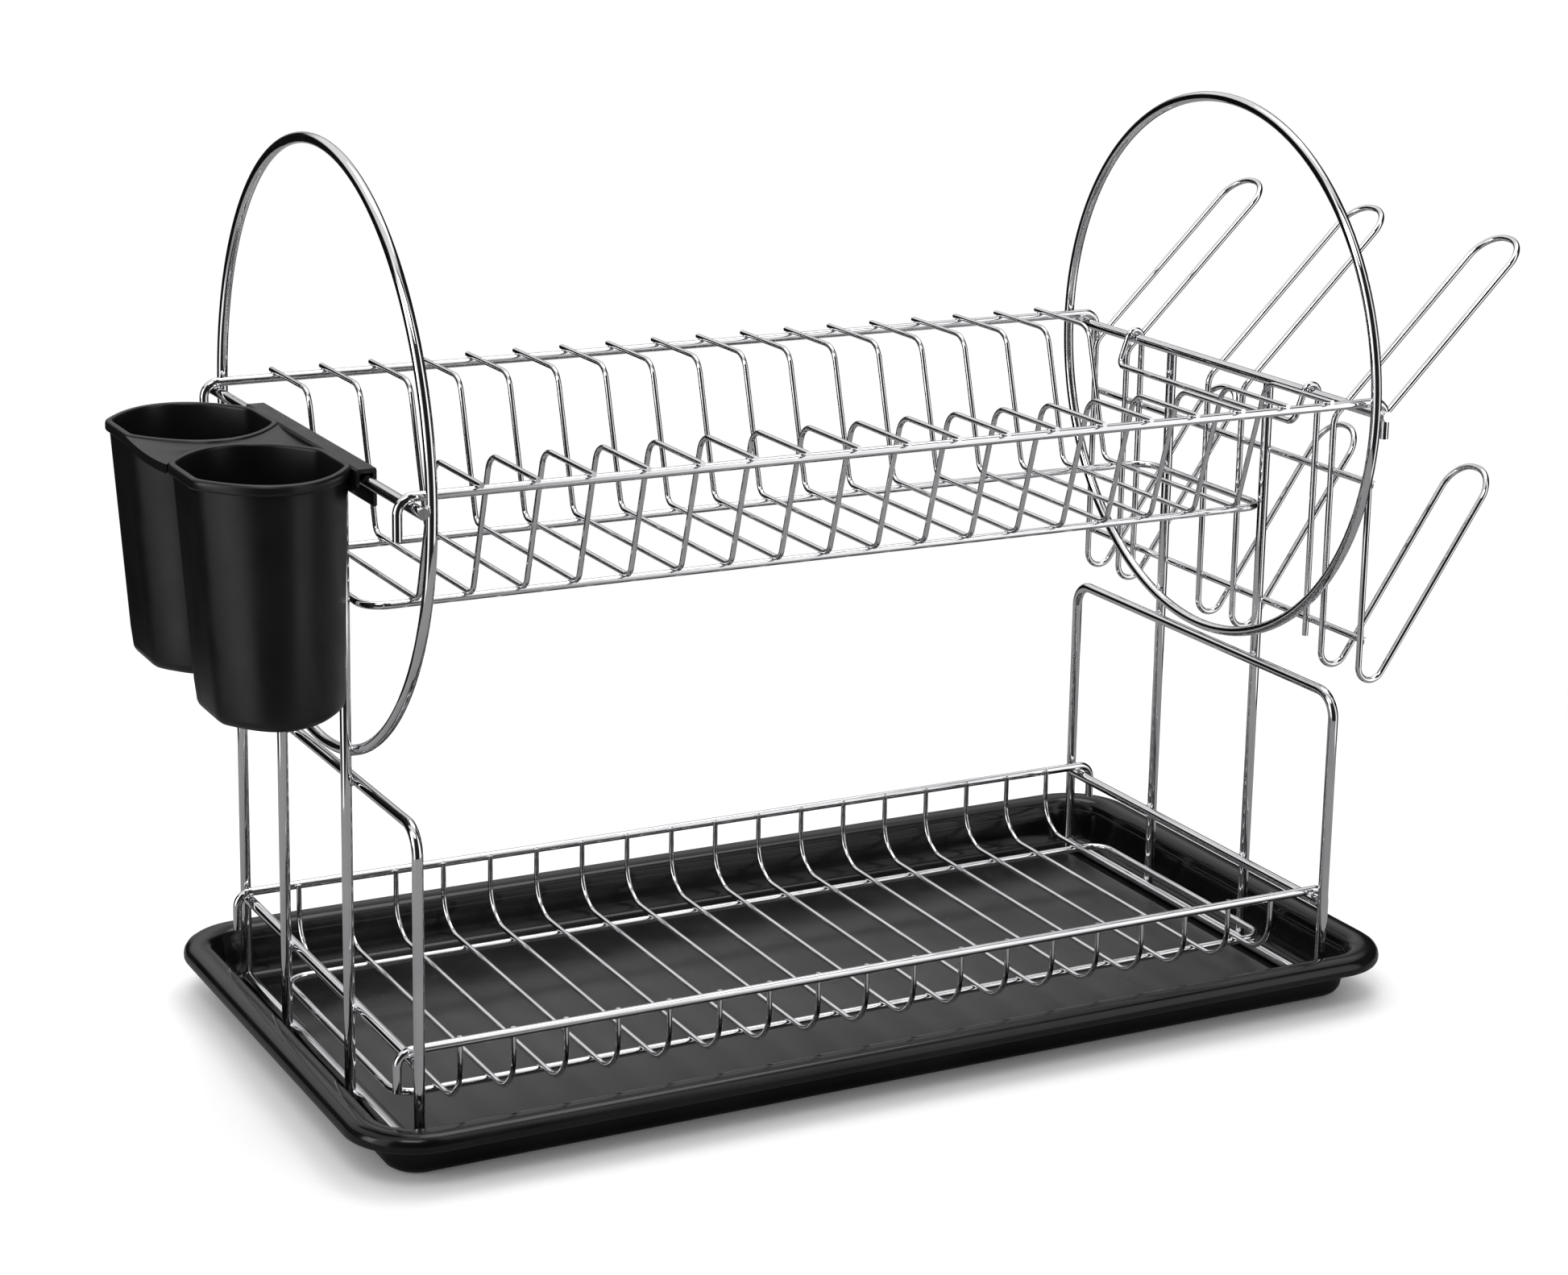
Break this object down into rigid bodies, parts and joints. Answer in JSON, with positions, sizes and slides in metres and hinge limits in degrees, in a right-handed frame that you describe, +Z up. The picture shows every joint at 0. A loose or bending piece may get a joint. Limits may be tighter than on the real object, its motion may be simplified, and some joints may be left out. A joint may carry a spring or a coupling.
{
  "type": "dish drying rack",
  "caption": "Two-tier chrome wire dish rack with ring ends, lift-off baskets, a side glass rack, a twin-cup cutlery holder and a black plastic drip tray.",
  "frame": {"origin": "middle of the tray's flat underside, on the worktop", "axes": "+X along the length towards the glass rack, +Y from front to back, +Z up"},
  "size_m": [0.6455, 0.284, 0.4304],
  "materials": {
    "wire": "polished",
    "tray_plastic": "gloss",
    "holder_plastic": "satin"
  },
  "bodies": {
    "tray": {"tray": "tray_plastic"},
    "stand": {"left_ring": "wire", "left_hoop": "wire", "left_upper_bar": "wire", "left_lower_bar": "wire", "left_foot_bar": "wire", "left_post_front": "wire", "left_post_back": "wire", "right_ring": "wire", "right_hoop": "wire", "right_upper_bar": "wire", "right_lower_bar": "wire", "right_foot_bar": "wire", "right_post_front": "wire", "right_post_back": "wire"},
    "upper_basket": {"upper_rail_front": "wire", "upper_rail_back": "wire", "upper_bottom_frame": "wire", "upper_wire_1": "wire", "upper_wire_2": "wire", "upper_wire_3": "wire", "upper_wire_4": "wire", "upper_wire_5": "wire", "upper_wire_6": "wire", "upper_wire_7": "wire", "upper_wire_8": "wire", "upper_wire_9": "wire", "upper_wire_10": "wire", "upper_wire_11": "wire", "upper_wire_12": "wire", "upper_wire_13": "wire", "upper_wire_14": "wire", "upper_wire_15": "wire", "upper_wire_16": "wire", "upper_wire_17": "wire", "upper_wire_18": "wire"},
    "lower_basket": {"lower_rail_front": "wire", "lower_rail_back": "wire", "lower_bottom_frame": "wire", "lower_wires_1": "wire", "lower_wires_2": "wire", "lower_wires_3": "wire", "lower_wires_4": "wire", "lower_wires_5": "wire", "lower_wires_6": "wire", "lower_wires_7": "wire", "lower_wires_8": "wire", "lower_wires_9": "wire"},
    "glass_rack": {"rack_carrier": "wire", "rack_bar_upper": "wire", "rack_bar_lower": "wire", "prong_front": "wire", "prong_middle": "wire", "prong_back": "wire"},
    "cutlery_holder": {"cutlery_holder": "holder_plastic"}
  },
  "joints": [
    {"name": "stand_lift", "type": "slide", "parent": "tray", "child": "stand", "axis": [0, 0, 1], "range_m": [0, 0.06]},
    {"name": "upper_basket_lift", "type": "slide", "parent": "stand", "child": "upper_basket", "axis": [0, 0, 1], "range_m": [0, 0.02]},
    {"name": "lower_basket_lift", "type": "slide", "parent": "stand", "child": "lower_basket", "axis": [0, 0, 1], "range_m": [0, 0.06]},
    {"name": "glass_rack_lift", "type": "slide", "parent": "stand", "child": "glass_rack", "axis": [0, 0, 1], "range_m": [0, 0.04]},
    {"name": "cutlery_holder_lift", "type": "slide", "parent": "stand", "child": "cutlery_holder", "axis": [0, 0, 1], "range_m": [0, 0.04]}
  ]
}
